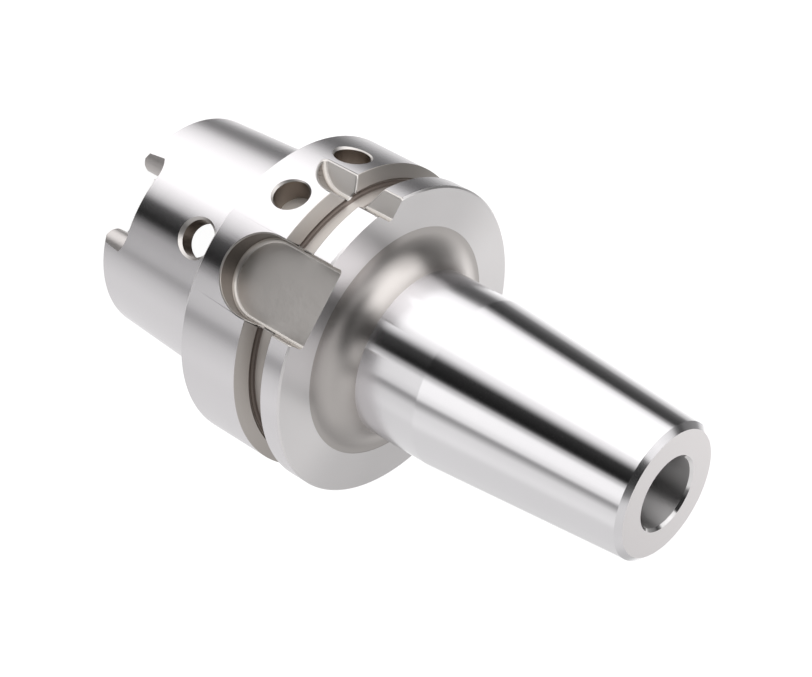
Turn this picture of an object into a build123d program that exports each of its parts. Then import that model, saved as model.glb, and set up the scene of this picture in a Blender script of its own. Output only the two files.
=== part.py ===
"""Shrink fit tool holder with a hollow taper shank, size 63, for a 14 mm tool shank.

All sizes are in millimetres. The origin lies on the axis, in the plane where the flange
meets the spindle face. +Z runs towards the nose, and -Y points to the narrow flange pocket.
"""
from build123d import *
from math import atan2, cos, degrees, radians, sin, sqrt, tan
import os

# Flange
flange_diameter = 63.0
flange_edge_chamfer = 0.5
front_collar_width = 4.62
groove_centre_z = 18.0
groove_bottom_diameter = 56.0
groove_bottom_width = 2.71
groove_angle = 60.0

# Hollow taper shank
shank_length = 32.0
gauge_diameter = 48.01
gauge_distance = 6.3
taper_ratio = 9.98
shank_end_chamfer = 0.6
relief_width = 1.5
relief_depth = 0.4
relief_face_width = 0.4

# Clamping cavity inside the shank
mouth_diameter = 34.0
mouth_chamfer = 1.0
shoulder_gauge_diameter = 37.0
shoulder_gauge_distance = 18.13
shoulder_angle = 30.0
recess_diameter = 40.0
recess_floor_distance = 4.0
recess_corner_bevel = 2.0
tube_seat_diameter = 21.0
tube_seat_depth = 2.0

# Threaded bore for the coolant tube, and the passage in front of it
tube_thread_bore_diameter = 16.92
tube_thread_length = 11.5
tube_thread_chamfer = 0.75
drill_point_angle = 118.0
passage_diameter = 8.0

# Nose
projection_length = 90.0
nose_tip_diameter = 27.0
nose_base_diameter = 34.0
nose_cone_half_angle = 4.5
nose_edge_chamfer = 1.0
root_start_diameter = 46.9
root_radius = 5.75

# Bore for the tool
tool_bore_diameter = 14.0
tool_bore_depth = 47.0
tool_bore_chamfer = 1.0

# Drive keyways in the end of the shank
keyway_width = 12.54
keyway_depth = 6.2
keyway_corner_radius = 1.5
keyway_edge_radius = 3.0
keyway_edge_start = 17.6
keyway_edge_end_radius = 5.0

# Holes through the shank wall, for a clamping key
access_hole_diameter = 7.5
access_hole_distance = 9.3
access_hole_chamfer = 0.55

# Pockets milled into the flange, for the tool changer
narrow_pocket_width = 16.0
narrow_pocket_floor = 26.5
narrow_pocket_start_z = 5.0
wide_pocket_width = 18.0
wide_pocket_floor = 20.0
wide_pocket_start_z = 5.0
pocket_corner_bevel = 0.5

# Corner notch that marks the holder's angular position
notch_floor = 20.0
notch_wall = 19.5
notch_cutter_diameter = 16.0
notch_start_z = 5.6

# Blind holes drilled into the rear collar for balance
balance_hole_diameter = 7.0
balance_hole_depth = 5.0
balance_hole_z = 8.5
balance_hole_chamfer = 0.35
balance_hole_middle_angle = -135.0
balance_hole_half_spread = 15.0

# Length stop screw behind the tool bore
stop_thread_diameter = 10.0
stop_screw_length = 16.0
stop_screw_setback = 0.5
stop_screw_clearance = 0.05
stop_screw_end_chamfer = 0.8
stop_screw_key_size = 5.0
stop_screw_socket_depth = 5.5
stop_screw_hole_diameter = 3.5

# A cutter runs this far past the surface that it opens
overrun = 2.0

# Sizes that follow from those above
flange_radius = flange_diameter / 2
groove_bottom_radius = groove_bottom_diameter / 2
groove_flank_rise = (flange_radius - groove_bottom_radius) * tan(radians(groove_angle / 2))
groove_half_width = groove_bottom_width / 2 + groove_flank_rise
flange_width = groove_centre_z + groove_half_width + front_collar_width
nose_base_radius = nose_base_diameter / 2
tool_bore_floor_z = projection_length - tool_bore_depth
stop_screw_front_z = tool_bore_floor_z - stop_screw_setback
stop_screw_back_z = stop_screw_front_z - stop_screw_length
stop_thread_end_z = stop_screw_back_z - stop_screw_setback


def taper_radius(z):
    """Radius of the shank's taper at height z."""
    return gauge_diameter / 2 + (z + gauge_distance) / (2 * taper_ratio)


def shoulder_z(radius):
    """Height at which the clamping shoulder has this radius."""
    rise = (radius - shoulder_gauge_diameter / 2) / tan(radians(shoulder_angle))
    return rise - shoulder_gauge_distance


relief_radius = taper_radius(-relief_width) - relief_depth


def turned(profile):
    """Solid that a half section makes when it is turned about the axis."""
    return revolve(Plane.XZ * profile, Axis.Z)


def shank_outline():
    """Half section of the shank's outside, from its end to the flange."""
    end_radius = taper_radius(-shank_length)
    return Polyline(
        (0, -shank_length),
        (end_radius - shank_end_chamfer, -shank_length),
        (taper_radius(shank_end_chamfer - shank_length), shank_end_chamfer - shank_length),
        (taper_radius(-relief_width), -relief_width),
        (relief_radius, relief_depth - relief_width),
        (relief_radius, relief_depth),
    )


def flange_outline():
    """Half section of the flange with its V groove, from the relief cut in its contact face."""
    face_start_radius = taper_radius(0) + relief_face_width
    return Polyline(
        (relief_radius, relief_depth),
        (face_start_radius, relief_depth),
        (face_start_radius + relief_depth, 0),
        (flange_radius - flange_edge_chamfer, 0),
        (flange_radius, flange_edge_chamfer),
        (flange_radius, groove_centre_z - groove_half_width),
        (groove_bottom_radius, groove_centre_z - groove_bottom_width / 2),
        (groove_bottom_radius, groove_centre_z + groove_bottom_width / 2),
        (flange_radius, groove_centre_z + groove_half_width),
        (flange_radius, flange_width - flange_edge_chamfer),
        (flange_radius - flange_edge_chamfer, flange_width),
        (root_start_diameter / 2, flange_width),
    )


def nose_outline():
    """Half section of the nose: the round root, a cylinder, a cone and the chamfered tip."""
    root_centre_radius = nose_base_radius + root_radius
    root_start_offset = root_start_diameter / 2 - root_centre_radius
    root_height = sqrt(root_radius**2 - root_start_offset**2)
    root_end_z = flange_width + root_height
    root_start_angle = degrees(atan2(-root_height, root_start_offset))
    root = CenterArc((root_centre_radius, root_end_z), root_radius, root_start_angle, -180 - root_start_angle)

    tip_radius = nose_tip_diameter / 2
    cone_slope = tan(radians(nose_cone_half_angle))
    cone_start_z = projection_length - (nose_base_radius - tip_radius) / cone_slope
    flanks = Polyline(
        (nose_base_radius, root_end_z),
        (nose_base_radius, cone_start_z),
        (tip_radius + nose_edge_chamfer * cone_slope, projection_length - nose_edge_chamfer),
        (tip_radius - nose_edge_chamfer, projection_length),
        (0, projection_length),
        (0, -shank_length),
    )
    return root + flanks


def outside_form():
    """The holder's outside as it comes off the lathe, solid inside."""
    return turned(make_face(shank_outline() + flange_outline() + nose_outline()))


def clamping_cavity():
    """The hollow of the shank: mouth, clamping shoulder, recess and coolant tube seat."""
    mouth_radius = mouth_diameter / 2
    recess_radius = recess_diameter / 2
    seat_radius = tube_seat_diameter / 2
    seat_floor_z = tube_seat_depth - recess_floor_distance
    return turned(
        make_face(
            Polyline(
                (0, -shank_length - overrun),
                (mouth_radius + mouth_chamfer + overrun, -shank_length - overrun),
                (mouth_radius, mouth_chamfer - shank_length),
                (mouth_radius, shoulder_z(mouth_radius)),
                (recess_radius, shoulder_z(recess_radius)),
                (recess_radius, -recess_floor_distance - recess_corner_bevel),
                (recess_radius - recess_corner_bevel, -recess_floor_distance),
                (seat_radius, -recess_floor_distance),
                (seat_radius, seat_floor_z),
                (0, seat_floor_z),
                (0, -shank_length - overrun),
            )
        )
    )


def coolant_passage():
    """The threaded tube bore with its drill point, the passage and the stop screw's bore."""
    seat_floor_z = tube_seat_depth - recess_floor_distance
    thread_radius = tube_thread_bore_diameter / 2
    thread_end_z = seat_floor_z + tube_thread_length
    passage_radius = passage_diameter / 2
    point_length = (thread_radius - passage_radius) / tan(radians(drill_point_angle / 2))
    stop_radius = stop_thread_diameter / 2
    return turned(
        make_face(
            Polyline(
                (0, seat_floor_z - overrun),
                (thread_radius + tube_thread_chamfer, seat_floor_z - overrun),
                (thread_radius + tube_thread_chamfer, seat_floor_z),
                (thread_radius, seat_floor_z + tube_thread_chamfer),
                (thread_radius, thread_end_z),
                (passage_radius, thread_end_z + point_length),
                (passage_radius, stop_thread_end_z),
                (stop_radius, stop_thread_end_z),
                (stop_radius, tool_bore_floor_z + overrun),
                (0, tool_bore_floor_z + overrun),
                (0, seat_floor_z - overrun),
            )
        )
    )


def tool_bore():
    """The bore that grips the tool, open at the nose."""
    bore_radius = tool_bore_diameter / 2
    return turned(
        make_face(
            Polyline(
                (0, tool_bore_floor_z),
                (bore_radius, tool_bore_floor_z),
                (bore_radius, projection_length - tool_bore_chamfer),
                (bore_radius + tool_bore_chamfer + overrun, projection_length + overrun),
                (0, projection_length + overrun),
                (0, tool_bore_floor_z),
            )
        )
    )


def milled_slot(width, floor_distance, start_z):
    """A slot with a round end, open towards the nose, with its flat floor this far from the axis.

    It faces +Y. The floor meets the wall in a small bevel, as the corner of a worn cutter leaves it.
    """
    end_radius = width / 2
    length = nose_root_end() + overrun - start_z - end_radius
    plan = Pos(0, start_z + end_radius) * Circle(end_radius)
    plan += Pos(0, start_z + end_radius + length / 2) * Rectangle(width, length)
    floor_plane = Plane((0, floor_distance, 0), x_dir=(-1, 0, 0), z_dir=(0, 1, 0))
    slot = extrude(floor_plane * plan, flange_radius + overrun - floor_distance)
    floor_edges = slot.faces().sort_by(Axis.Y)[0].edges()
    return chamfer(floor_edges, pocket_corner_bevel)


def nose_root_end():
    """Height at which the round root meets the nose."""
    return flange_width + root_radius


def corner_notch():
    """The two-sided notch, milled along -Y with a round cutter, open towards the nose."""
    cutter_radius = notch_cutter_diameter / 2
    length = flange_width + overrun - notch_start_z - cutter_radius
    middle_x = -notch_wall - cutter_radius
    plan = Pos(middle_x, notch_start_z + cutter_radius) * Circle(cutter_radius)
    plan += Pos(middle_x, notch_start_z + cutter_radius + length / 2) * Rectangle(notch_cutter_diameter, length)
    floor_plane = Plane((0, -notch_floor, 0), x_dir=(1, 0, 0), z_dir=(0, -1, 0))
    notch = extrude(floor_plane * plan, flange_radius + overrun - notch_floor)
    floor_edges = notch.faces().sort_by(Axis.Y)[-1].edges()
    return chamfer(floor_edges, pocket_corner_bevel)


def drive_keyway():
    """One keyway in the end of the shank, on the +Y side, with its long outer edges rounded."""
    half_width = keyway_width / 2
    floor_z = keyway_depth - shank_length
    inner_y = shank_centre_clearance()
    outer_y = gauge_diameter / 2 + overrun
    slot = Pos(0, (inner_y + outer_y) / 2, floor_z - (keyway_depth + overrun) / 2) * Box(
        keyway_width, outer_y - inner_y, keyway_depth + overrun
    )
    floor_corners = slot.edges().filter_by(Axis.Y).group_by(Axis.Z)[-1]
    slot = fillet(floor_corners, keyway_corner_radius)

    edge_centre_x = half_width + keyway_edge_radius
    side = gauge_diameter / 2
    section = make_face(
        Polyline(
            (half_width, keyway_edge_start),
            (half_width, outer_y),
            (side, outer_y),
            (side, keyway_edge_start + keyway_edge_radius),
            (edge_centre_x, keyway_edge_start + keyway_edge_radius),
        )
        + CenterArc((edge_centre_x, keyway_edge_start), keyway_edge_radius, 90, 90)
    )
    rounding = extrude(Plane((0, 0, -shank_length - overrun)) * section, keyway_depth + overrun)
    end_centre_z = floor_z - keyway_edge_end_radius
    plan = Pos(half_width, end_centre_z) * Circle(keyway_edge_end_radius)
    plan += Pos(side / 2, end_centre_z - shank_length / 2) * Rectangle(side, shank_length)
    swept_plan = extrude(Plane.XZ * plan, -outer_y)
    rounding = rounding & swept_plan
    return slot + rounding + mirror(rounding, Plane.YZ)


def shank_centre_clearance():
    """Distance from the axis at which the keyways begin, inside the cavity's mouth."""
    return mouth_diameter / 4


def radial_hole(diameter, z, angle, outer_radius, floor_radius, chamfer_size):
    """A round hole drilled towards the axis, from outer_radius to floor_radius, with a chamfered mouth."""
    radius = diameter / 2
    outline = make_face(
        Polyline(
            (0, floor_radius),
            (radius, floor_radius),
            (radius, outer_radius - chamfer_size),
            (radius + chamfer_size + overrun, outer_radius + overrun),
            (0, outer_radius + overrun),
            (0, floor_radius),
        )
    )
    drill = revolve(Plane.XZ * outline, Axis.Z)
    return Rot(0, 0, angle) * Pos(0, 0, z) * Rot(0, 90, 0) * drill


def access_holes():
    """The two holes through the shank wall, in line with the keyways."""
    outer_radius = taper_radius(-access_hole_distance)
    return [
        radial_hole(access_hole_diameter, -access_hole_distance, angle, outer_radius,
                    tube_seat_diameter / 2, access_hole_chamfer)
        for angle in (-90, 90)
    ]


def balance_holes():
    """The two blind holes, one each side of the corner notch."""
    return [
        radial_hole(balance_hole_diameter, balance_hole_z, balance_hole_middle_angle + offset, flange_radius,
                    flange_radius - balance_hole_depth, balance_hole_chamfer)
        for offset in (-balance_hole_half_spread, balance_hole_half_spread)
    ]


def holder_body():
    """The holder's one-piece body."""
    body = outside_form() - clamping_cavity() - coolant_passage() - tool_bore()
    body -= drive_keyway()
    body -= mirror(drive_keyway(), Plane.XZ)
    for hole in access_holes() + balance_holes():
        body -= hole
    body -= milled_slot(wide_pocket_width, wide_pocket_floor, wide_pocket_start_z)
    body -= mirror(milled_slot(narrow_pocket_width, narrow_pocket_floor, narrow_pocket_start_z), Plane.XZ)
    body -= corner_notch()
    return body


def stop_screw():
    """The hollow grub screw that the tool's end rests on, with a hexagon socket at both ends."""
    radius = stop_thread_diameter / 2 - stop_screw_clearance
    screw = Pos(0, 0, stop_screw_back_z + stop_screw_length / 2) * Cylinder(radius, stop_screw_length)
    screw = chamfer(screw.edges(), stop_screw_end_chamfer)
    socket = RegularPolygon(stop_screw_key_size / 2, 6, major_radius=False)
    screw -= extrude(Plane((0, 0, stop_screw_back_z)) * socket, stop_screw_socket_depth)
    screw -= extrude(Plane((0, 0, stop_screw_front_z)) * socket, -stop_screw_socket_depth)
    middle = Pos(0, 0, stop_screw_back_z + stop_screw_length / 2)
    return screw - middle * Cylinder(stop_screw_hole_diameter / 2, stop_screw_length)


os.makedirs("parts", exist_ok=True)
export_step(holder_body(), "parts/holder_body.step")
export_step(stop_screw(), "parts/stop_screw.step")
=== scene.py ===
"""Shrink fit tool holder, dressed for a studio picture.

Sizes named here are in millimetres and become metres where points are made. The frame is the
part's own: the axis is Z, Z is 0 at the face that meets the spindle, +Z runs towards the nose,
and -Y faces the narrow flange pocket.
"""
import math

import bpy
from mathutils import Euler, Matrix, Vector


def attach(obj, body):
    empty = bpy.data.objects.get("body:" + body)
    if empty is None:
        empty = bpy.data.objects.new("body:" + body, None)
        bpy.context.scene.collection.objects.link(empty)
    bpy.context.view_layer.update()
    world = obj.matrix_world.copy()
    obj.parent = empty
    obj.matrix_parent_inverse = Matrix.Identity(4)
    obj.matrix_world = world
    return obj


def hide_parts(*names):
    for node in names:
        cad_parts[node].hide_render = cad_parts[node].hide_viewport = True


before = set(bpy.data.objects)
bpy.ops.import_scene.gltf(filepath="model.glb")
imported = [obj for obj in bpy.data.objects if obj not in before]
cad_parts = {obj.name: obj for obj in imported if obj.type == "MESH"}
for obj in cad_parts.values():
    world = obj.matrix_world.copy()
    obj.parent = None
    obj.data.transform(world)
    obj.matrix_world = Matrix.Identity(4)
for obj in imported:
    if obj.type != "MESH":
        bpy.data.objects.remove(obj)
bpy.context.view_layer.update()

MM = 0.001
# Two places this close are the same
TOUCH = 0.001
MERGE_DISTANCE = 0.0005
# How near a face lies to a surface that it belongs to: its height or depth, and its radius
NEAR = 0.1
SKIN = 0.01
THIRTY_DEGREES = math.tan(math.radians(30.0))
SMOOTH_ANGLE = math.radians(30.0)

# Flange
FLANGE_RADIUS = 31.5
FLANGE_WIDTH = 26.0
RIM_CHAMFER = 0.5
RELIEF_START = -1.5
RELIEF_DEPTH = 0.4
GROOVE_CENTRE = 18.0
GROOVE_BOTTOM_RADIUS = 28.0
GROOVE_BOTTOM_WIDTH = 2.71
GROOVE_RISE = (FLANGE_RADIUS - GROOVE_BOTTOM_RADIUS) * THIRTY_DEGREES
GROOVE_CORNER = 1.0
GROOVE_LIP = 0.12
UNDERCUT_RADIUS = 0.605
UNDERCUT_CENTRE = (28.602, 16.236)
UNDERCUT_RUN_OUT = [(28.05, 16.32), (28.0, 16.55)]

# Hollow taper shank
SHANK_END = -32.0
GAUGE_RADIUS = 24.005
GAUGE_DISTANCE = 6.3
TAPER_RATIO = 9.98
SHANK_CHAMFER = 0.6
MOUTH_RADIUS = 17.0
MOUTH_CHAMFER = 1.0
RECESS_RADIUS = 20.0
RECESS_FLOOR = -4.0
RECESS_CORNER = 2.0
SHOULDER_RADIUS = 18.5
SHOULDER_Z = -18.13
TUBE_SEAT_RADIUS = 10.5
TUBE_SEAT_FLOOR = -2.0

# Bores
TUBE_THREAD_RADIUS = 8.46
TUBE_THREAD_MAJOR_RADIUS = 9.0
TUBE_THREAD_LENGTH = 11.5
TUBE_THREAD_CHAMFER = 0.75
TUBE_THREAD_START = -2.5
TUBE_THREAD_TURNS = 11
DRILL_POINT = math.tan(math.radians(59.0))
PASSAGE_RADIUS = 4.0
STOP_THREAD_RADIUS = 5.0
STOP_THREAD_END = 26.0
STOP_THREAD_CHAMFER = 0.4
STOP_THREAD_START = 26.5
STOP_THREAD_TURNS = 16
THREAD_PITCH = 1.0
THREAD_STEPS = 72
TOOL_BORE_RADIUS = 7.0
TOOL_BORE_FLOOR = 43.0
TOOL_BORE_CHAMFER = 0.5

# Nose
NOSE_END = 90.0
NOSE_BASE_RADIUS = 17.0
NOSE_TIP_RADIUS = 13.5
TIP_CHAMFER = 1.0
CONE_SLOPE = math.tan(math.radians(4.5))
CONE_START = NOSE_END - (NOSE_BASE_RADIUS - NOSE_TIP_RADIUS) / CONE_SLOPE
ROOT_START_RADIUS = 23.45
ROOT_RADIUS = 5.75
ROOT_STEP = 0.03

# Milled features
POCKET_END = 5.0
NARROW_POCKET_WIDTH = 16.0
NARROW_POCKET_FLOOR = 26.5
WIDE_POCKET_WIDTH = 18.0
WIDE_POCKET_FLOOR = 20.0
NOTCH_FLOOR = 20.0
NOTCH_WALL = 19.5
NOTCH_END = 5.6
NOTCH_CUTTER_RADIUS = 8.0
CUTTER_CORNER = 0.8
CUTTER_TOP = 34.0
CUTTER_DEPTH = 14.0
CUTTER_OVERSHOOT = 2.0
SLOT_FACETS = 128
DRILL_FACETS = 96
FRONT_EDGE_BREAK = 0.35
FLANGE_EDGE_BREAK = 0.3
SHANK_EDGE_BREAK = 0.12
SHANK_EDGE_BREAK_END = -15.0
KEYWAY_HALF_WIDTH = 6.27
KEYWAY_FLOOR = -25.8
KEYWAY_CORNER = 1.5
KEYWAY_ROUND = 3.0
KEYWAY_ROUND_CENTRE = 17.6
KEYWAY_ROUND_END = 5.0
KEYWAY_ROUND_FACETS = 64
ACCESS_HOLE_RADIUS = 3.7
ACCESS_HOLE_Z = -9.3
ACCESS_HOLE_CHAMFER = 0.9
BALANCE_HOLE_RADIUS = 3.5
BALANCE_HOLE_Z = 8.5
BALANCE_HOLE_DEPTH = 5.0
BALANCE_HOLE_CHAMFER = 0.45
BALANCE_HOLE_ANGLES = (-150.0, -120.0)

# Stop screw
SCREW_LOW = 26.5
SCREW_HIGH = 42.5
SCREW_RADIUS = 4.95
SCREW_HOLE_RADIUS = 1.75
SCREW_CHAMFER = 0.8
SOCKET_ACROSS_FLATS = 5.0
SOCKET_DEPTH = 5.5
SOCKET_MOUTH_RADIUS = 2.6
SOCKET_MOUTH_DEPTH = 0.4
SOCKET_MOUTH_SPREAD = 1.4
SCREW_ROOT_RADIUS = 4.35
SCREW_THREAD_TURNS = 18

# Columns of the turned form, one for each degree, and how clear they stay of a milled side
COLUMNS = 360
COLUMN_CLEARANCE = math.radians(0.42)


def activate(piece):
    """Make this the only selected piece."""
    bpy.ops.object.select_all(action="DESELECT")
    piece.select_set(True)
    bpy.context.view_layer.objects.active = piece


def select_points(piece, test):
    """In edit mode, select the points whose place in millimetres passes the test."""
    bpy.ops.mesh.select_all(action="DESELECT")
    bpy.ops.object.mode_set(mode="OBJECT")
    for point in piece.data.vertices:
        point.select = bool(test(point.co / MM))
    bpy.ops.object.mode_set(mode="EDIT")


def move_points(piece, place):
    """In object mode, move each point to where place() puts it, in millimetres."""
    for point in piece.data.vertices:
        point.co = Vector(place(point.co / MM)) * MM


def extrude_by(x, y, z):
    """Extrude what is selected along this step, in millimetres."""
    bpy.ops.mesh.extrude_region_move(TRANSFORM_OT_translate={"value": (x * MM, y * MM, z * MM)})


def face_outwards():
    """Turn every face of the piece in edit mode to point outwards."""
    bpy.ops.mesh.select_all(action="SELECT")
    bpy.ops.mesh.normals_make_consistent(inside=False)


def start_line(x, y, z):
    """Start a new piece, in edit mode, as one point at this place in millimetres."""
    bpy.ops.object.select_all(action="DESELECT")
    bpy.ops.mesh.primitive_plane_add(size=MM)
    piece = bpy.context.object
    bpy.ops.object.mode_set(mode="EDIT")
    bpy.ops.mesh.select_all(action="SELECT")
    bpy.ops.mesh.merge(type="CENTER")
    bpy.ops.transform.translate(value=(x * MM, y * MM, z * MM))
    return piece


def start_disc(radius, corners, x, y, z, turned=False):
    """Start a new piece, in edit mode, as a disc at this place in millimetres. Turned, it faces -Y."""
    bpy.ops.object.select_all(action="DESELECT")
    bpy.ops.mesh.primitive_circle_add(vertices=corners, radius=radius * MM, fill_type="NGON",
                                      location=(x * MM, y * MM, z * MM),
                                      rotation=(math.pi / 2 if turned else 0, 0, 0))
    piece = bpy.context.object
    bpy.ops.object.transform_apply(location=True, rotation=True, scale=True)
    bpy.ops.object.mode_set(mode="EDIT")
    bpy.ops.mesh.select_all(action="SELECT")
    return piece


def finish_shape():
    """Turn the faces outwards and leave edit mode."""
    face_outwards()
    bpy.ops.object.mode_set(mode="OBJECT")


def taper_radius(z):
    """The shank's radius at a height, which falls towards its end."""
    return GAUGE_RADIUS + (z + GAUGE_DISTANCE) / (2 * TAPER_RATIO)


def arc(centre_radius, centre_z, radius, start, end, steps):
    """Points of an arc in the half section, from one angle to another, in degrees."""
    angles = [math.radians(start + (end - start) * i / steps) for i in range(steps + 1)]
    return [(centre_radius + radius * math.cos(a), centre_z + radius * math.sin(a)) for a in angles]


def holder_section():
    """The half section of the holder, all the way round, as (radius, z) points."""
    groove_half = GROOVE_BOTTOM_WIDTH / 2
    groove_low = GROOVE_CENTRE - groove_half
    groove_high = GROOVE_CENTRE + groove_half
    corner_z = groove_high - GROOVE_CORNER * THIRTY_DEGREES
    lip = GROOVE_LIP
    lip_rise = lip * THIRTY_DEGREES
    relief_radius = taper_radius(RELIEF_START) - RELIEF_DEPTH
    face_start = taper_radius(0) + RELIEF_DEPTH
    root_floor = FLANGE_WIDTH - ROOT_STEP
    root_centre = (NOSE_BASE_RADIUS + ROOT_RADIUS, root_floor + ROOT_RADIUS)
    point_length = (TUBE_THREAD_RADIUS - PASSAGE_RADIUS) / DRILL_POINT
    thread_end = TUBE_SEAT_FLOOR + TUBE_THREAD_LENGTH
    shoulder_start = (RECESS_RADIUS, SHOULDER_Z + (RECESS_RADIUS - SHOULDER_RADIUS) / THIRTY_DEGREES)
    shoulder_end = (MOUTH_RADIUS, SHOULDER_Z + (MOUTH_RADIUS - SHOULDER_RADIUS) / THIRTY_DEGREES)
    shank_edge = SHANK_END + SHANK_CHAMFER

    section = [(taper_radius(SHANK_END) - SHANK_CHAMFER, SHANK_END), (taper_radius(shank_edge), shank_edge)]
    section += [(taper_radius(RELIEF_START), RELIEF_START)]
    section += [(relief_radius, RELIEF_START + RELIEF_DEPTH), (relief_radius, RELIEF_DEPTH)]
    section += [(face_start, RELIEF_DEPTH), (face_start + RELIEF_DEPTH, 0)]
    section += [(FLANGE_RADIUS - RIM_CHAMFER, 0), (FLANGE_RADIUS, RIM_CHAMFER)]
    section += [(FLANGE_RADIUS, groove_low - GROOVE_RISE - lip)]
    section += [(FLANGE_RADIUS - lip, groove_low - GROOVE_RISE + lip_rise)]
    section += arc(*UNDERCUT_CENTRE, UNDERCUT_RADIUS, 335.0, 174.0, 14)
    section += UNDERCUT_RUN_OUT
    section += arc(GROOVE_BOTTOM_RADIUS + GROOVE_CORNER, corner_z, GROOVE_CORNER, 180.0, 120.0, 8)
    section += [(FLANGE_RADIUS - lip, groove_high + GROOVE_RISE - lip_rise)]
    section += [(FLANGE_RADIUS, groove_high + GROOVE_RISE + lip)]
    section += [(FLANGE_RADIUS, FLANGE_WIDTH - FRONT_EDGE_BREAK)]
    section += [(FLANGE_RADIUS - FRONT_EDGE_BREAK, FLANGE_WIDTH)]
    section += [(ROOT_START_RADIUS + ROOT_STEP, FLANGE_WIDTH), (ROOT_START_RADIUS, root_floor)]
    section += arc(*root_centre, ROOT_RADIUS, -90.0, -180.0, 28)
    section += [(NOSE_BASE_RADIUS, CONE_START)]
    section += [(NOSE_TIP_RADIUS + CONE_SLOPE * TIP_CHAMFER, NOSE_END - TIP_CHAMFER)]
    section += [(NOSE_TIP_RADIUS - TIP_CHAMFER, NOSE_END)]
    section += [(TOOL_BORE_RADIUS + TOOL_BORE_CHAMFER, NOSE_END)]
    section += [(TOOL_BORE_RADIUS, NOSE_END - TOOL_BORE_CHAMFER), (TOOL_BORE_RADIUS, TOOL_BORE_FLOOR)]
    section += [(STOP_THREAD_RADIUS + STOP_THREAD_CHAMFER, TOOL_BORE_FLOOR)]
    section += [(STOP_THREAD_RADIUS, TOOL_BORE_FLOOR - STOP_THREAD_CHAMFER)]
    section += [(STOP_THREAD_RADIUS, STOP_THREAD_END), (PASSAGE_RADIUS, STOP_THREAD_END)]
    section += [(PASSAGE_RADIUS, thread_end + point_length)]
    section += [(TUBE_THREAD_RADIUS, thread_end), (TUBE_THREAD_RADIUS, TUBE_SEAT_FLOOR + TUBE_THREAD_CHAMFER)]
    section += [(TUBE_THREAD_RADIUS + TUBE_THREAD_CHAMFER, TUBE_SEAT_FLOOR)]
    section += [(TUBE_SEAT_RADIUS, TUBE_SEAT_FLOOR), (TUBE_SEAT_RADIUS, RECESS_FLOOR)]
    section += arc(RECESS_RADIUS - RECESS_CORNER, RECESS_FLOOR - RECESS_CORNER, RECESS_CORNER, 90.0, 0.0, 8)
    section += [shoulder_start, shoulder_end]
    section += [(MOUTH_RADIUS, SHANK_END + MOUTH_CHAMFER), (MOUTH_RADIUS + MOUTH_CHAMFER, SHANK_END)]
    return section


def keep_columns_clear(x, y):
    """Move a point round the axis, so that no column edge runs too near a milled side."""
    narrow = math.asin(NARROW_POCKET_WIDTH / 2 / FLANGE_RADIUS)
    wide = math.asin(WIDE_POCKET_WIDTH / 2 / FLANGE_RADIUS)
    milled = [-math.pi / 2 - narrow, -math.pi / 2 + narrow, math.pi / 2 - wide, math.pi / 2 + wide]
    milled += [-math.acos(-NOTCH_WALL / FLANGE_RADIUS), math.asin(NOTCH_FLOOR / FLANGE_RADIUS) - math.pi]
    angle = math.atan2(y, x)
    for side in milled:
        gap = angle - side
        if abs(gap) < COLUMN_CLEARANCE:
            angle = side + math.copysign(COLUMN_CLEARANCE, gap)
    radius = math.hypot(x, y)
    return radius * math.cos(angle), radius * math.sin(angle)


def turn_holder():
    """Draw the half section from one point by extruding, then spin it round the axis."""
    section = holder_section()
    holder = start_line(section[0][0], 0, section[0][1])
    holder.name = "tool_holder_body"
    for (r0, z0), (r1, z1) in zip(section, section[1:]):
        extrude_by(r1 - r0, 0, z1 - z0)
    ends = (section[0], section[-1])
    select_points(holder, lambda p: min(math.dist((p.x, p.z), end) for end in ends) < TOUCH)
    bpy.ops.mesh.edge_face_add()
    spin_section(COLUMNS)
    move_points(holder, lambda p: (*keep_columns_clear(p.x, p.y), p.z))
    return holder


def spin_section(steps):
    """Spin the closed section in edit mode once round the axis, and leave edit mode."""
    bpy.ops.mesh.select_all(action="SELECT")
    bpy.ops.mesh.spin(steps=steps, angle=2 * math.pi, center=(0, 0, 0), axis=(0, 0, 1))
    bpy.ops.mesh.select_all(action="SELECT")
    bpy.ops.mesh.remove_doubles(threshold=MERGE_DISTANCE * MM)
    finish_shape()


def slot_cutter(centre_x, end_radius, end_z, floor, side):
    """A slot with a round lower end, open towards the nose, that faces -Y, or +Y where side is 1.

    Its floor corner is rounded, as the milling cutter leaves it.
    """
    centre_z = end_z + end_radius
    cutter = start_disc(end_radius, SLOT_FACETS, centre_x, side * floor, centre_z, turned=True)
    bpy.ops.mesh.bisect(plane_co=(0, 0, centre_z * MM), plane_no=(0, 0, 1), clear_outer=True)
    select_points(cutter, lambda p: p.z > centre_z - TOUCH)
    extrude_by(0, 0, CUTTER_TOP - centre_z)
    bpy.ops.mesh.select_all(action="SELECT")
    extrude_by(0, side * CUTTER_DEPTH, 0)
    select_points(cutter, lambda p: abs(side * p.y - floor) < TOUCH)
    bpy.ops.mesh.select_mode(type="EDGE")
    bpy.ops.mesh.region_to_loop()
    bpy.ops.mesh.bevel(offset=CUTTER_CORNER * MM, segments=6, profile=0.5)
    bpy.ops.mesh.select_mode(type="VERT")
    finish_shape()
    return cutter


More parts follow.
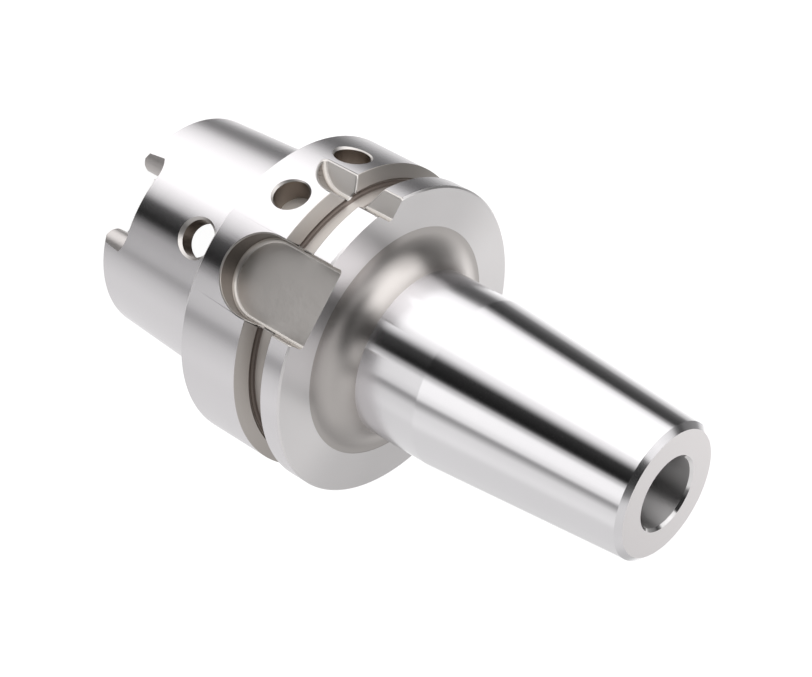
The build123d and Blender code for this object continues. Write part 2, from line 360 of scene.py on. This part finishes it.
def drill(radius, z, angle, top, bottom, chamfer):
    """A drill that points at the axis, with a countersink where it enters the surface."""
    cutter = start_disc(radius, DRILL_FACETS, 0, 0, bottom)
    extrude_by(0, 0, top - chamfer - bottom)
    countersink = chamfer + CUTTER_OVERSHOOT
    extrude_by(0, 0, countersink)
    spread = (radius + countersink) / radius
    bpy.ops.transform.resize(value=(spread, spread, 1), center_override=(0, 0, 0))
    finish_shape()
    a = math.radians(angle)
    outward = Vector((math.cos(a), math.sin(a), 0))
    sideways = Vector((-math.sin(a), math.cos(a), 0))
    move_points(cutter, lambda p: outward * p.z + sideways * p.x + Vector((0, 0, z + p.y)))
    activate(cutter)
    bpy.ops.object.mode_set(mode="EDIT")
    finish_shape()
    return cutter


def keyway_cutter(side):
    """The keyway's slot across the shank wall, with its two floor corners rounded."""
    bpy.ops.object.select_all(action="DESELECT")
    across, length, height = 2 * KEYWAY_HALF_WIDTH, 18.0, 10.0
    wall_middle = side * 17.0
    bpy.ops.mesh.primitive_cube_add(size=1, scale=(across * MM, length * MM, height * MM),
                                    location=(0, wall_middle * MM, (KEYWAY_FLOOR - height / 2) * MM))
    cutter = bpy.context.object
    bpy.ops.object.transform_apply(location=True, rotation=True, scale=True)
    bpy.ops.object.mode_set(mode="EDIT")
    bpy.ops.mesh.select_mode(type="EDGE")
    bpy.ops.mesh.select_all(action="DESELECT")
    bpy.ops.object.mode_set(mode="OBJECT")
    points = cutter.data.vertices
    for edge in cutter.data.edges:
        a, b = (points[i].co for i in edge.vertices)
        edge.select = abs(a.y - b.y) > MM and a.z / MM > KEYWAY_FLOOR - SKIN
    bpy.ops.object.mode_set(mode="EDIT")
    bpy.ops.mesh.bevel(offset=KEYWAY_CORNER * MM, segments=8, profile=0.5)
    bpy.ops.mesh.select_mode(type="VERT")
    finish_shape()
    return cutter


def keyway_rounding(side, hand):
    """What is milled off the keyway's long outer edge, on one hand of one keyway."""
    inner, outer, top = KEYWAY_HALF_WIDTH - 0.5, 24.0, 27.0
    section = [(inner, KEYWAY_ROUND_CENTRE), (inner, top), (outer, top)]
    section += [(outer, KEYWAY_ROUND_CENTRE + KEYWAY_ROUND)]
    section += arc(KEYWAY_HALF_WIDTH + KEYWAY_ROUND, KEYWAY_ROUND_CENTRE, KEYWAY_ROUND, 90.0, 180.0, 12)
    bottom = SHANK_END - CUTTER_OVERSHOOT
    end_centre_z = KEYWAY_FLOOR - KEYWAY_ROUND_END
    cutter = start_line(*section[0], bottom)
    for (x0, y0), (x1, y1) in zip(section, section[1:]):
        extrude_by(x1 - x0, y1 - y0, 0)
    bpy.ops.mesh.select_all(action="SELECT")
    bpy.ops.mesh.edge_face_add()
    extrude_by(0, 0, KEYWAY_FLOOR - bottom)
    finish_shape()

    plan_start, plan_length = 15.0, 5.0
    plan = start_disc(KEYWAY_ROUND_END, KEYWAY_ROUND_FACETS, KEYWAY_HALF_WIDTH, plan_start, end_centre_z,
                      turned=True)
    bpy.ops.mesh.bisect(plane_co=(0, 0, end_centre_z * MM), plane_no=(0, 0, -1), clear_outer=True)
    select_points(plan, lambda p: p.z < end_centre_z + TOUCH)
    extrude_by(0, 0, -plan_length)
    bpy.ops.mesh.select_all(action="SELECT")
    extrude_by(0, CUTTER_DEPTH, 0)
    finish_shape()
    apply_boolean(cutter, plan, "INTERSECT")
    move_points(cutter, lambda p: (hand * p.x, side * p.y, p.z))
    activate(cutter)
    bpy.ops.object.mode_set(mode="EDIT")
    finish_shape()
    return cutter


def apply_boolean(piece, cutter, operation="DIFFERENCE"):
    """Cut, join or intersect the piece with the cutter, which is then thrown away."""
    activate(piece)
    modifier = piece.modifiers.new("cut", "BOOLEAN")
    modifier.operation = operation
    modifier.solver = "EXACT"
    modifier.object = cutter
    bpy.ops.object.modifier_apply(modifier=modifier.name)
    bpy.data.objects.remove(cutter)


def thread_cutter(root_radius, open_radius, start, turns):
    """A helical cutter with a pointed tooth, from its open side to the thread's root."""
    half = 0.46 * THREAD_PITCH
    flank = 0.8 * half
    root = 0.4 * half
    depth = root_radius - open_radius
    cutter = start_line(open_radius, 0, start - half)
    extrude_by(depth, 0, flank)
    extrude_by(0, 0, root)
    extrude_by(-depth, 0, flank)
    close_line()
    bpy.ops.object.mode_set(mode="OBJECT")
    modifier = cutter.modifiers.new("helix", "SCREW")
    modifier.axis = "Z"
    modifier.screw_offset = THREAD_PITCH * MM
    modifier.iterations = turns
    modifier.steps = THREAD_STEPS
    modifier.render_steps = THREAD_STEPS
    activate(cutter)
    bpy.ops.object.modifier_apply(modifier=modifier.name)
    bpy.ops.object.mode_set(mode="EDIT")
    bpy.ops.mesh.select_mode(type="VERT")
    bpy.ops.mesh.select_all(action="SELECT")
    bpy.ops.mesh.remove_doubles(threshold=MERGE_DISTANCE * MM)
    for end in (start, start + turns * THREAD_PITCH):
        select_points(cutter, lambda p: p.x > 0 and abs(p.y) < TOUCH and abs(p.z - end) < half + TOUCH)
        bpy.ops.mesh.edge_face_add()
    finish_shape()
    return cutter


def close_line():
    """In edit mode, join the line's two ends by an edge, with no face across it."""
    bpy.ops.mesh.select_all(action="SELECT")
    bpy.ops.mesh.edge_face_add()
    bpy.ops.mesh.delete(type="ONLY_FACE")


def mill_and_drill(holder):
    """Cut every milled and drilled feature of the holder, and its two threads."""
    cutters = [slot_cutter(0, NARROW_POCKET_WIDTH / 2, POCKET_END, NARROW_POCKET_FLOOR, -1)]
    cutters += [slot_cutter(0, WIDE_POCKET_WIDTH / 2, POCKET_END, WIDE_POCKET_FLOOR, 1)]
    notch_x = -NOTCH_WALL - NOTCH_CUTTER_RADIUS
    cutters += [slot_cutter(notch_x, NOTCH_CUTTER_RADIUS, NOTCH_END, NOTCH_FLOOR, -1)]
    hole_top = taper_radius(ACCESS_HOLE_Z)
    for side in (-1, 1):
        cutters += [keyway_cutter(side)]
        cutters += [keyway_rounding(side, hand) for hand in (-1, 1)]
        cutters += [drill(ACCESS_HOLE_RADIUS, ACCESS_HOLE_Z, 90.0 * side, hole_top, TUBE_SEAT_RADIUS,
                          ACCESS_HOLE_CHAMFER)]
    for angle in BALANCE_HOLE_ANGLES:
        cutters += [drill(BALANCE_HOLE_RADIUS, BALANCE_HOLE_Z, angle, FLANGE_RADIUS,
                          FLANGE_RADIUS - BALANCE_HOLE_DEPTH, BALANCE_HOLE_CHAMFER)]
    cutters += [thread_cutter(TUBE_THREAD_MAJOR_RADIUS, TUBE_THREAD_RADIUS - 0.3, TUBE_THREAD_START,
                              TUBE_THREAD_TURNS)]
    cutters += [thread_cutter(STOP_THREAD_RADIUS + 0.4, STOP_THREAD_RADIUS - 0.2, STOP_THREAD_START,
                              STOP_THREAD_TURNS)]
    for cutter in cutters:
        apply_boolean(holder, cutter)


# The holder's finishes, in the order of its material slots
GROUND, FINE_GROUND, FACED, TURNED, MILLED, SHADED_SIDE_MILLED, CORNER_MILLED, KEYWAY_MILLED, ROOT_TURNED, DRILLED, \
    SPOT_FACED, HONED, DEBURRED, DARK_UNDERCUT, POLISHED, TIP_FACED = range(16)
CUT_FINISHES = {MILLED, SHADED_SIDE_MILLED, CORNER_MILLED, KEYWAY_MILLED}

# A turned face leans no more than this round the axis
TURNED_LEAN = 0.02
# Turned faces farther out than this are on the outside of the shank or flange
OUTSIDE_RADIUS = 22.0
# A facing cut takes in the faces this close to its level, and chamfers of up to 45 degrees
FACING_DEPTH = 1.0
CHAMFER_STEEPNESS = 0.7
LEVEL_STEEPNESS = 0.9
BORE_MARGIN = 0.2
# How far from their axes the walls and countersinks of the drilled holes reach
ACCESS_HOLE_REACH = 4.8
BALANCE_HOLE_REACH = 4.2
# The share of a milled face's direction that is along Y: below this a wall, above that a floor
WALL_SHARE = 0.1
FLOOR_SHARE = 0.97


def finish_of(face, mesh):
    """Which finish a face of the holder has, by its place in millimetres and its direction."""
    centre = face.center / MM
    normal = face.normal
    level = is_level(face, mesh)
    if level:
        normal = Vector((0, 0, math.copysign(1, normal.z)))
    if sideways_tilt(face, normal, mesh) > TURNED_LEAN:
        return finish_of_cut(centre, normal)
    radius = math.hypot(centre.x, centre.y)
    outward = normal.x * centre.x + normal.y * centre.y > 0
    if NOSE_BASE_RADIUS + SKIN < radius < ROOT_START_RADIUS + ROOT_STEP and centre.z > FLANGE_WIDTH - NEAR:
        return ROOT_TURNED
    if abs(centre.z - KEYWAY_FLOOR) < NEAR:
        return KEYWAY_MILLED
    near_front = centre.z > FLANGE_WIDTH - FACING_DEPTH
    if outward:
        outside = radius > OUTSIDE_RADIUS
        on_taper = outside and SHANK_END + SHANK_CHAMFER < centre.z < RELIEF_START + NEAR
        if on_taper or radius > FLANGE_RADIUS - SKIN:
            return GROUND
        if outside and FLANGE_WIDTH - NEAR > centre.z > RIM_CHAMFER:
            if radius > FLANGE_RADIUS - FRONT_EDGE_BREAK and near_front:
                return FACED
            return DARK_UNDERCUT if is_in_undercut(radius, centre.z) else TURNED
        if centre.z > FLANGE_WIDTH:
            return FINE_GROUND
    steepness = abs(normal.z)
    if centre.z > NOSE_END - TOOL_BORE_CHAMFER and steepness < LEVEL_STEEPNESS:
        return POLISHED
    in_bore = radius < TOOL_BORE_RADIUS + BORE_MARGIN
    if steepness > CHAMFER_STEEPNESS and not in_bore:
        if centre.z > NOSE_END - TIP_CHAMFER:
            return TIP_FACED
        if near_front or abs(centre.z) < FACING_DEPTH:
            return FACED
    if in_bore and centre.z > TOOL_BORE_FLOOR:
        return HONED
    return TURNED


def sideways_tilt(face, normal, mesh):
    """How far a face leans round the axis, which no turned face does."""
    tilt = 0.0
    for corner in face.vertices:
        place = mesh.vertices[corner].co
        tilt = max(tilt, abs(normal.x * place.y - normal.y * place.x) / math.hypot(place.x, place.y))
    return tilt


def is_level(face, mesh):
    """Whether all of a face is at one height, square to the axis."""
    heights = [mesh.vertices[corner].co.z / MM for corner in face.vertices]
    return max(heights) - min(heights) < TOUCH


def finish_of_cut(centre, normal):
    """Which finish a face has that a mill or a drill left, by its place in millimetres."""
    if max(abs(centre.z - ACCESS_HOLE_Z), abs(centre.x)) < ACCESS_HOLE_REACH:
        on_rim = abs(centre.y) > taper_radius(ACCESS_HOLE_Z) - ACCESS_HOLE_CHAMFER - NEAR
        return DEBURRED if on_rim else DRILLED
    for angle in BALANCE_HOLE_ANGLES:
        a = math.radians(angle)
        across = centre.x * math.sin(a) - centre.y * math.cos(a)
        outward = centre.x * math.cos(a) + centre.y * math.sin(a)
        floor = FLANGE_RADIUS - BALANCE_HOLE_DEPTH
        if outward > floor - NEAR and math.hypot(across, centre.z - BALANCE_HOLE_Z) < BALANCE_HOLE_REACH:
            if outward > FLANGE_RADIUS - BALANCE_HOLE_CHAMFER - NEAR:
                return DEBURRED
            return SPOT_FACED if outward < floor + NEAR else DRILLED
    if centre.z < 0:
        return KEYWAY_MILLED
    # Milled walls take the side-milled steel, whose darker colour is painted shade
    if abs(normal.y) < WALL_SHARE:
        return SHADED_SIDE_MILLED
    return MILLED if abs(normal.y) > FLOOR_SHARE else CORNER_MILLED


def is_in_undercut(radius, z):
    """Whether a place on the turned form is in the narrow channel at the foot of the groove."""
    return math.dist((radius, z), UNDERCUT_CENTRE) < UNDERCUT_RADIUS + SKIN


# Rims that are broken: sharper than this angle, and farther from the axis than this
RIM_ANGLE = math.radians(35.0)
RIM_RADIUS = 19.0
BREAK_MERGE_DISTANCE = 0.002


def break_edges(holder, width, low, high):
    """Break the sharp outer edges of what was milled between two heights, as a deburring tool does."""
    mesh = holder.data
    for point in mesh.vertices:
        point.select = False
    for face in mesh.polygons:
        face.select = False
    faces_of = faces_by_edge(mesh)
    for edge in mesh.edges:
        pair = faces_of.get(edge.key, [])
        middle = (mesh.vertices[edge.vertices[0]].co + mesh.vertices[edge.vertices[1]].co) / 2
        inside = low < middle.z / MM < high
        edge.select = inside and len(pair) == 2 and is_rim(pair[0], pair[1], middle)
    activate(holder)
    bpy.ops.object.mode_set(mode="EDIT")
    bpy.ops.mesh.select_mode(type="EDGE")
    bpy.ops.mesh.bevel(offset=width * MM, segments=2, profile=0.5, clamp_overlap=False, material=DEBURRED)
    bpy.ops.mesh.select_all(action="SELECT")
    bpy.ops.mesh.remove_doubles(threshold=BREAK_MERGE_DISTANCE * MM)
    bpy.ops.mesh.fill_holes(sides=0)
    bpy.ops.mesh.select_mode(type="VERT")
    finish_shape()


def faces_by_edge(mesh):
    """The faces that meet at each edge, by the edge's key."""
    faces_of = {}
    for face in mesh.polygons:
        for key in face.edge_keys:
            faces_of.setdefault(key, []).append(face)
    return faces_of


def is_rim(one, other, middle):
    """Whether an edge is a sharp outer one between a milled face and a turned one."""
    if len(CUT_FINISHES & {one.material_index, other.material_index}) != 1:
        return False
    if one.normal.dot(other.normal) > math.cos(RIM_ANGLE):
        return False
    if math.hypot(middle.x, middle.y) < RIM_RADIUS * MM:
        return False
    return (other.center - middle).dot(one.normal) < 0


def polish_normals(holder):
    """Shade the holder: flat faces flat, turned faces as true surfaces of revolution."""
    activate(holder)
    bpy.ops.object.shade_smooth_by_angle(angle=SMOOTH_ANGLE)
    mesh = holder.data
    faces_of = faces_by_edge(mesh)
    for edge in mesh.edges:
        ends = [mesh.vertices[i].co.z / MM for i in edge.vertices]
        meeting = {face.material_index for face in faces_of.get(edge.key, [])}
        if len(meeting - {DEBURRED, CORNER_MILLED}) > 1 or max(abs(z - CONE_START) for z in ends) < SKIN:
            edge.use_edge_sharp = True
    modifier = holder.modifiers.new("flats", "WEIGHTED_NORMAL")
    modifier.mode = "FACE_AREA"
    modifier.keep_sharp = True
    bpy.ops.object.modifier_apply(modifier=modifier.name)
    normals = [Vector(corner.vector) for corner in mesh.corner_normals]
    for face in mesh.polygons:
        if is_level(face, mesh):
            for loop in face.loop_indices:
                normals[loop] = Vector((0, 0, math.copysign(1, face.normal.z)))
            continue
        if face.material_index in CUT_FINISHES | {DRILLED, SPOT_FACED, DEBURRED}:
            continue
        for loop in face.loop_indices:
            place = mesh.vertices[mesh.loops[loop].vertex_index].co
            radial = Vector((place.x, place.y, 0)).normalized()
            flat = radial * normals[loop].dot(radial) + Vector((0, 0, normals[loop].z))
            if flat.length > 0.5:
                normals[loop] = flat.normalized()
    mesh.normals_split_custom_set(normals)


def linear(hex_colour):
    """An sRGB hex colour as the linear colour that shaders take."""
    values = [int(hex_colour[i:i + 2], 16) / 255 for i in (1, 3, 5)]
    return [v / 12.92 if v <= 0.04045 else ((v + 0.055) / 1.055) ** 2.4 for v in values] + [1.0]


def add_node(tree, kind, inputs=None, **settings):
    """Add a node, give it its settings, and set or link its inputs."""
    node = tree.nodes.new(kind)
    for name, value in settings.items():
        setattr(node, name, value)
    for socket, value in (inputs or {}).items():
        if isinstance(value, bpy.types.NodeSocket):
            tree.links.new(value, node.inputs[socket])
        else:
            node.inputs[socket].default_value = value
    return node


# Noise scales, in patterns per metre: marks 10 mm long and 0.5 mm apart, grain 0.6 mm, handling 17 mm
MARKS_SCALE = 100.0
MARKS_DRAWN_OUT = 20.0
GRAIN_SCALE = 1800.0
HANDLING_SCALE = 60.0
HANDLING_SHARE = 0.35
HANDLED_SHADE = 0.96
NOISE_LOW = 0.3
NOISE_HIGH = 0.7
QUARTER_TURN = 0.25


def steel(name, colour, roughness, lay=0.0, grain=0.0, spread=0.03, metallic=1.0):
    """A machined steel, with marks that change its roughness by spread either way.

    lay is how far its highlights stretch across the tool's marks. With a lay the marks run round
    the axis, a few hundredths of a millimetre apart on the real part. They are drawn about half a
    millimetre apart, so that they show. Without one they are an even grain. grain is the depth of
    the marks in millimetres. Handling shades the colour over patches of about 17 millimetres.
    """
    material = bpy.data.materials.new(name)
    material.use_nodes = True
    tree = material.node_tree
    shader = tree.nodes["Principled BSDF"]
    shader.inputs["Metallic"].default_value = metallic
    place = add_node(tree, "ShaderNodeTexCoord").outputs["Object"]
    if lay:
        split = add_node(tree, "ShaderNodeSeparateXYZ", {"Vector": place})
        x, y, z = split.outputs
        flat = add_node(tree, "ShaderNodeCombineXYZ", {"X": x, "Y": y}).outputs[0]
        radius = add_node(tree, "ShaderNodeVectorMath", {0: flat}, operation="LENGTH").outputs["Value"]
        along = add_node(tree, "ShaderNodeMath", {0: radius, 1: z}, operation="ADD").outputs[0]
        drawn = add_node(tree, "ShaderNodeMath", {0: along, 1: MARKS_DRAWN_OUT}, operation="MULTIPLY")
        drawn = drawn.outputs[0]
        marks_at = add_node(tree, "ShaderNodeCombineXYZ", {"X": x, "Y": y, "Z": drawn}).outputs[0]
        shader.inputs["Anisotropic"].default_value = lay
        shader.inputs["Anisotropic Rotation"].default_value = QUARTER_TURN
        tangent = add_node(tree, "ShaderNodeTangent", direction_type="RADIAL", axis="Z")
        tree.links.new(tangent.outputs["Tangent"], shader.inputs["Tangent"])
        pattern = {"Vector": marks_at, "Scale": MARKS_SCALE, "Detail": 1.0}
    else:
        pattern = {"Vector": place, "Scale": GRAIN_SCALE, "Detail": 1.0}
    marks = add_node(tree, "ShaderNodeTexNoise", pattern).outputs["Fac"]
    patches = {"Vector": place, "Scale": HANDLING_SCALE, "Detail": 3.0}
    handling = add_node(tree, "ShaderNodeTexNoise", patches).outputs["Fac"]
    mixed = add_node(tree, "ShaderNodeMix", {"Factor": HANDLING_SHARE, "A": marks, "B": handling}).outputs[0]
    rough = add_node(tree, "ShaderNodeMapRange", {
        "Value": mixed, "From Min": NOISE_LOW, "From Max": NOISE_HIGH,
        "To Min": roughness - spread, "To Max": roughness + spread})
    tree.links.new(rough.outputs["Result"], shader.inputs["Roughness"])
    deep = [c * HANDLED_SHADE for c in linear(colour)[:3]] + [1.0]
    tint = add_node(tree, "ShaderNodeMix", {"Factor": handling}, data_type="RGBA")
    tint.inputs[6].default_value = deep
    tint.inputs[7].default_value = linear(colour)
    tree.links.new(tint.outputs[2], shader.inputs["Base Color"])
    if grain:
        bump = add_node(tree, "ShaderNodeBump", {"Height": marks, "Strength": 1.0, "Distance": grain * MM})
        tree.links.new(bump.outputs["Normal"], shader.inputs["Normal"])
    return material


# Hot-work tool steel with every surface as it was machined, in the order of the finishes above
FINISHES = [
    # Cylindrically ground: bright and slightly soft, with bands that run along the length
    steel("ground_tool_steel", "#e6e3e5", 0.25, lay=1.0, spread=0.01),
    # Finely ground nose: near a mirror, with crisp bands along its length
    steel("fine_ground_tool_steel", "#e7e5e7", 0.15, lay=0.9, spread=0.005),
    # Face turned, then ground: a silky sheen whose highlights fan out from the axis
    steel("faced_tool_steel", "#f0eded", 0.3, lay=1.0, spread=0.01),
    # Turned and left as it is: grey and satin, a little warm
    steel("turned_tool_steel", "#bfb9b4", 0.4, lay=0.5, grain=0.001),
    # Face milled floors: a pale, even satin
    steel("milled_tool_steel", "#f0ebe7", 0.42, grain=0.001),
    # Walls cut by the side of the mill: painted shade, a colour darkened for the shade that falls in the
    # pocket
    steel("side_milled_painted_shade_steel", "#77716c", 0.3, grain=0.001),
    # Rounded floor corners: a soft bright line round each pocket
    steel("corner_milled_tool_steel", "#b7b2ad", 0.32, grain=0.001),
    # Keyways: a neutral satin grey
    steel("keyway_milled_tool_steel", "#c8c3c1", 0.42, grain=0.001),
    # Root of the nose: turned with a round tool, grey with a soft broad highlight
    steel("root_turned_tool_steel", "#c3bebb", 0.33, lay=0.8),
    # Walls of drilled holes: dull and brownish
    steel("drilled_tool_steel", "#a0968e", 0.36, grain=0.001),
    # Floors of the balancing holes: pale and matt
    steel("spot_faced_tool_steel", "#f0ebe6", 0.7, grain=0.001),
    # Honed tool bore: grey bands along the bore
    steel("honed_tool_steel", "#cecccc", 0.58, lay=1.0, spread=0.0),
    # Edges broken by a deburring tool: fine light lines
    steel("deburred_tool_steel", "#cac6c3", 0.35, grain=0.0005),
    # The narrow undercut at the foot of the groove: a dark, matt colour
    steel("dark_undercut_tool_steel", "#7c726c", 0.5, grain=0.001),
    # Polished lead-in of the bore: a bright glint
    steel("polished_tool_steel", "#f0eeee", 0.1, spread=0.01),
    # Tip of the nose: faced, pale and even
    steel("tip_faced_tool_steel", "#ebe7e7", 0.35, spread=0.01),
]

holder = turn_holder()
mill_and_drill(holder)
for finish in FINISHES:
    holder.data.materials.append(finish)
for face in holder.data.polygons:
    face.material_index = finish_of(face, holder.data)
break_edges(holder, FLANGE_EDGE_BREAK, 0.0, FLANGE_WIDTH - NEAR)
break_edges(holder, SHANK_EDGE_BREAK, SHANK_END, SHANK_EDGE_BREAK_END)
polish_normals(holder)
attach(holder, "holder")
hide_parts("holder_body")


def turn_stop_screw():
    """The stop screw: a threaded rod with a hole through it and a hex socket in each end."""
    section = [(SCREW_HOLE_RADIUS, SCREW_LOW), (SCREW_RADIUS - SCREW_CHAMFER, SCREW_LOW)]
    section += [(SCREW_RADIUS, SCREW_LOW + SCREW_CHAMFER), (SCREW_RADIUS, SCREW_HIGH - SCREW_CHAMFER)]
    section += [(SCREW_RADIUS - SCREW_CHAMFER, SCREW_HIGH), (SCREW_HOLE_RADIUS, SCREW_HIGH)]
    screw = start_line(section[0][0], 0, section[0][1])
    screw.name = "stop_screw_threaded"
    for (r0, z0), (r1, z1) in zip(section, section[1:]):
        extrude_by(r1 - r0, 0, z1 - z0)
    close_line()
    spin_section(THREAD_STEPS)
    for end, inward in ((SCREW_HIGH, -1), (SCREW_LOW, 1)):
        start = end - inward
        socket = start_disc(SOCKET_ACROSS_FLATS / math.sqrt(3), 6, 0, 0, start)
        extrude_by(0, 0, inward * SOCKET_DEPTH + end - start)
        finish_shape()
        apply_boolean(screw, socket)
        mouth = start_disc(SOCKET_MOUTH_RADIUS, THREAD_STEPS, 0, 0, end + inward * SOCKET_MOUTH_DEPTH)
        extrude_by(0, 0, -inward * 2 * SOCKET_MOUTH_DEPTH)
        bpy.ops.transform.resize(value=(SOCKET_MOUTH_SPREAD, SOCKET_MOUTH_SPREAD, 1),
                                 center_override=(0, 0, 0))
        finish_shape()
        apply_boolean(screw, mouth)
    thread = thread_cutter(SCREW_ROOT_RADIUS, SCREW_RADIUS + 0.35, SCREW_LOW - THREAD_PITCH,
                           SCREW_THREAD_TURNS)
    apply_boolean(screw, thread)
    activate(screw)
    bpy.ops.object.shade_smooth_by_angle(angle=SMOOTH_ANGLE)
    # Alloy steel blackened in hot salts: near black, with a dull sheen
    screw.data.materials.append(steel("blackened_tool_steel", "#4a4848", 0.35, grain=0.001, metallic=0.9))
    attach(screw, "screw")
    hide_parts("stop_screw")


turn_stop_screw()


FLOOR_SIZE = 6.0
FLOOR_SHADE = 0.25
FLOOR_GLOW = 0.96


def lay_floor():
    """The pale table that the holder stands on, on its shank end."""
    bpy.ops.object.select_all(action="DESELECT")
    bpy.ops.mesh.primitive_plane_add(size=FLOOR_SIZE, location=(0, 0, SHANK_END * MM))
    floor = bpy.context.object
    floor.name = "floor"
    bpy.ops.object.transform_apply(location=True, rotation=True, scale=True)
    # Matt white table, which glows a little so that it is white all over
    material = bpy.data.materials.new("white_table")
    material.use_nodes = True
    tree = material.node_tree
    tree.nodes.clear()
    lit = add_node(tree, "ShaderNodeBsdfDiffuse", {"Color": (FLOOR_SHADE,) * 3 + (1,)})
    glow = add_node(tree, "ShaderNodeEmission", {"Color": (1, 1, 1, 1), "Strength": FLOOR_GLOW})
    both = add_node(tree, "ShaderNodeAddShader", {0: lit.outputs[0], 1: glow.outputs[0]})
    add_node(tree, "ShaderNodeOutputMaterial", {"Surface": both.outputs[0]})
    floor.data.materials.append(material)
    floor.visible_glossy = False
    floor.visible_transmission = False
    floor.visible_shadow = False


# Brightness of the light tent by compass angle in degrees, where 0 is +X and 90 is +Y, at five
# heights: the table round the object, the walls, their sill, their tops and the roof. The walls are
# bright, with one dark flag on the camera's side and one beyond the object.
TENT_TABLE = [
    (-180, 1.3), (-165, 1.5), (-130, 1.5), (-115, 1.2), (-104, 0.9), (-94, 0.1),
    (-77, 0.0), (-62, 0.05), (-40, 0.2), (-28, 0.5), (-15, 0.6), (10, 0.85),
    (40, 0.95), (70, 1.25), (90, 1.75), (112, 1.65), (128, 0.55), (140, 0.2),
    (150, 0.35), (162, 0.8), (174, 1.15), (180, 1.3),
]
TENT_WALLS = [
    (-180, 1.3), (-168, 1.5), (-120, 1.5), (-110, 1.1), (-96, 0.02), (-81, 0.01),
    (-79, 0.06), (-74, 0.7), (-68, 1.3), (-56, 1.25), (-47, 1.05), (-41, 0.35),
    (-28, 0.9), (-13, 0.95), (0, 0.8), (50, 0.8), (62, 0.75), (78, 1.1),
    (95, 1.2), (110, 1.05), (124, 0.7), (138, 0.15), (150, 0.06), (160, 0.02),
    (166, 0.3), (172, 1.05), (180, 1.3),
]
TENT_SILL = [
    (-180, 1.8), (-122, 1.8), (-102, 0.1), (-80, 0.02), (-60, 0.85), (-40, 0.4),
    (-20, 0.85), (0, 0.8), (20, 0.75), (62, 0.6), (80, 1.1), (100, 1.9),
    (112, 0.8), (122, 0.3), (140, 0.2), (158, 0.3), (170, 1.2), (180, 1.8),
]
TENT_TOPS = [
    (-180, 1.2), (-165, 1.9), (-128, 2.0), (-116, 1.2), (-102, 0.25), (-80, 0.2),
    (-60, 0.12), (-40, 0.5), (-20, 0.7), (40, 0.8), (60, 0.5), (78, 0.28),
    (94, 1.1), (108, 0.5), (122, 0.3), (138, 0.2), (147, 0.05), (154, 0.15),
    (162, 1.0), (180, 1.2),
]
TENT_ROOF = [
    (-180, 1.0), (-146, 1.0), (-136, 0.03), (-75, 0.03), (-45, 0.15), (-25, 0.8),
    (5, 0.85), (40, 0.75), (60, 0.75), (80, 0.7), (100, 0.02), (120, 0.02),
    (138, 0.2), (154, 0.15), (164, 0.9), (180, 1.0),
]
# Each level above the table, with the heights between which it takes over from the one below
TENT_LEVELS = [
    (TENT_WALLS, -0.7, -0.48), (TENT_SILL, -0.35, 0.05), (TENT_TOPS, 0.2, 0.5), (TENT_ROOF, 0.62, 0.85),
]


def tent_ramp(tree, compass, stops):
    """One level of the tent: its brightness at each compass angle, as a colour ramp."""
    ramp = add_node(tree, "ShaderNodeValToRGB", {"Fac": compass})
    band = ramp.color_ramp
    band.interpolation = "EASE"
    while len(band.elements) > 1:
        band.elements.remove(band.elements[-1])
    for i, (azimuth, level) in enumerate(stops):
        place = azimuth / 360 + 0.5
        if i == 0:
            band.elements[0].position = place
            stop = band.elements[0]
        else:
            stop = band.elements.new(place)
        stop.color = (level, level, level, 1)
    return ramp.outputs["Color"]


def hang_light_tent():
    """The white tent round the object, with its dark flags. The camera itself sees plain white."""
    world = bpy.data.worlds.new("light_tent")
    bpy.context.scene.world = world
    world.use_nodes = True
    tree = world.node_tree
    tree.nodes.clear()
    direction = add_node(tree, "ShaderNodeTexCoord").outputs["Generated"]
    compass = add_node(tree, "ShaderNodeTexGradient", {"Vector": direction}, gradient_type="RADIAL")
    compass = compass.outputs["Fac"]
    height = add_node(tree, "ShaderNodeSeparateXYZ", {"Vector": direction}).outputs["Z"]
    colour = tent_ramp(tree, compass, TENT_TABLE)
    for stops, low, high in TENT_LEVELS:
        share = add_node(tree, "ShaderNodeMapRange", {"Value": height, "From Min": low, "From Max": high})
        layer = add_node(tree, "ShaderNodeMix", {"Factor": share.outputs["Result"]}, data_type="RGBA")
        tree.links.new(colour, layer.inputs[6])
        tree.links.new(tent_ramp(tree, compass, stops), layer.inputs[7])
        colour = layer.outputs[2]
    seen = add_node(tree, "ShaderNodeLightPath").outputs["Is Camera Ray"]
    shown = add_node(tree, "ShaderNodeMix", {"Factor": seen}, data_type="RGBA")
    tree.links.new(colour, shown.inputs[6])
    shown.inputs[7].default_value = (1, 1, 1, 1)
    background = add_node(tree, "ShaderNodeBackground", {"Color": shown.outputs[2], "Strength": 1.0})
    add_node(tree, "ShaderNodeOutputWorld", {"Surface": background.outputs[0]})


# Where the camera stands, in metres, how it is turned, in degrees, and its lens, in millimetres
CAMERA_PLACE = (-0.0238983, -0.3590973, 0.2578118)
CAMERA_TURN = (-37.42398, -47.24827, 132.58122)
SENSOR_WIDTH = 36.0
FOCAL_LENGTH = 100.69


def place_camera():
    """The camera where the photograph was taken, rolled so that the nose points down and right."""
    data = bpy.data.cameras.new("camera")
    camera = bpy.data.objects.new("camera", data)
    bpy.context.scene.collection.objects.link(camera)
    camera.location = CAMERA_PLACE
    camera.rotation_euler = Euler([math.radians(angle) for angle in CAMERA_TURN], "XYZ")
    data.sensor_width = SENSOR_WIDTH
    data.lens = FOCAL_LENGTH
    data.clip_start = 0.01
    data.clip_end = 20.0
    bpy.context.scene.camera = camera


lay_floor()
hang_light_tent()
place_camera()
bpy.context.scene.view_settings.view_transform = "Standard"
